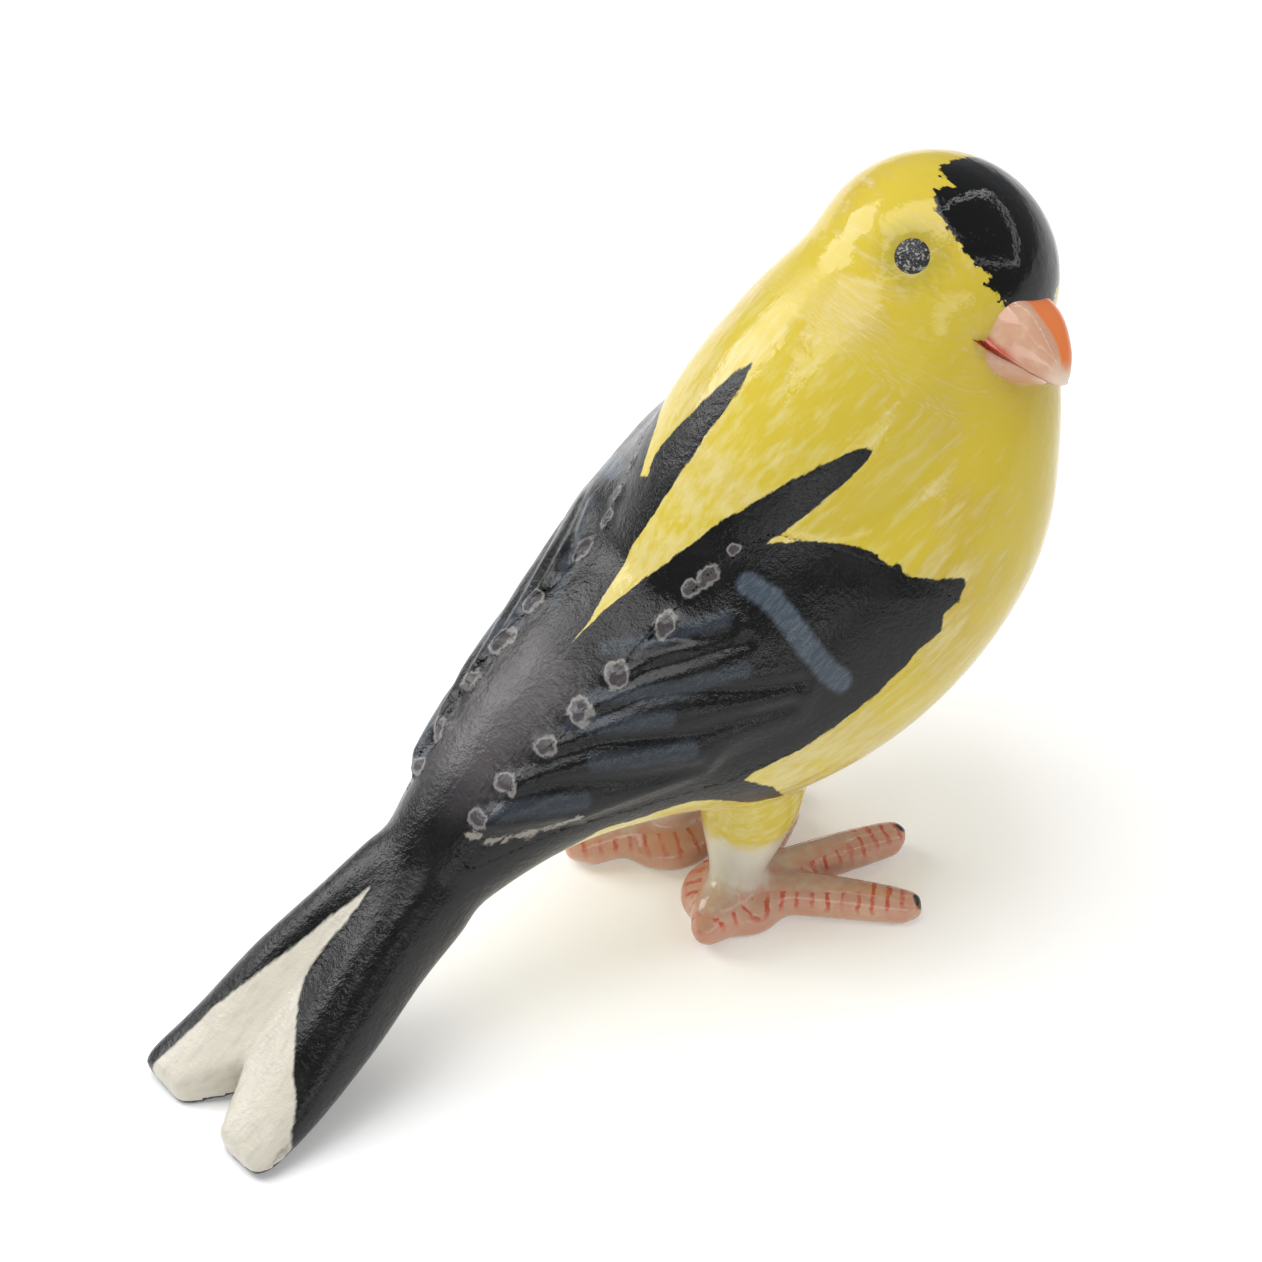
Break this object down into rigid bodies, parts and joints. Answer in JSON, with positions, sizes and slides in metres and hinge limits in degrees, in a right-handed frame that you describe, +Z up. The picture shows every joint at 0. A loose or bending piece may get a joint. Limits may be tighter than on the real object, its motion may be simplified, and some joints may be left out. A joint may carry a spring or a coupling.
{
  "type": "porcelain songbird figurine",
  "caption": "Miniature glazed porcelain goldfinch standing on its feet and tail tip, head turned to its right, with folded wings and a forked tail.",
  "frame": {"origin": "on the table, at the middle of the figurine's bounding box", "axes": "+Z up; -Y is ahead, the way the breast points; -X is the bird's right, towards which its head is turned"},
  "size_m": [0.0222, 0.0528, 0.04],
  "materials": {
    "yellow_glaze": "clear gloss glaze over brushed yellow",
    "black_glaze": "clear gloss glaze over black",
    "beak_glaze": "clear gloss glaze over pinkish orange",
    "leg_glaze": "clear gloss glaze over off-white",
    "foot_glaze": "clear gloss glaze over pinkish brown",
    "eye_enamel": "gloss black enamel bead"
  },
  "bodies": {
    "root": {"head_shell": "yellow_glaze", "left_eye": "eye_enamel", "left_foot_pad": "foot_glaze", "left_hind_toe": "foot_glaze", "left_inner_toe": "foot_glaze", "left_leg": "leg_glaze", "left_middle_toe": "foot_glaze", "left_outer_toe": "foot_glaze", "left_wing": "black_glaze", "lower_mandible": "beak_glaze", "right_eye": "eye_enamel", "right_foot_pad": "foot_glaze", "right_hind_toe": "foot_glaze", "right_inner_toe": "foot_glaze", "right_leg": "leg_glaze", "right_middle_toe": "foot_glaze", "right_outer_toe": "foot_glaze", "right_wing": "black_glaze", "tail": "black_glaze", "torso_shell": "yellow_glaze", "upper_mandible": "beak_glaze"}
  },
  "joints": []
}
